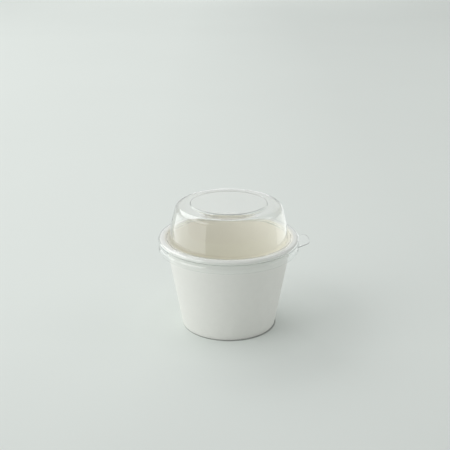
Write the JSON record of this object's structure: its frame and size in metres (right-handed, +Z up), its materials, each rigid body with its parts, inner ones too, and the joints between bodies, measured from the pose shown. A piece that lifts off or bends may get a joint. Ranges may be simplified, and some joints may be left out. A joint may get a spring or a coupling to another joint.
{
  "type": "paper dessert cup with domed lid",
  "caption": "Tapered white paper dessert cup with a rolled rim and recessed bottom, closed by a clear domed lid with a pull tab, pressed over its rim.",
  "frame": {"origin": "on the cup's axis, in the plane of the base ring that it stands on", "axes": "+Z up along the cup's axis, +X towards the lid's pull tab, +Y towards the glued side seam"},
  "size_m": [0.0996, 0.0922, 0.0842],
  "materials": {
    "paper_board": "matte",
    "clear_film": "gloss"
  },
  "bodies": {
    "cup": {"cup_sidewall": "paper_board", "cup_bottom": "paper_board"},
    "lid": {"dome_lid": "clear_film"}
  },
  "joints": [
    {"name": "lid_lift", "type": "slide", "parent": "cup", "child": "lid", "axis": [0, 0, 1], "range_m": [0, 0.04]}
  ]
}
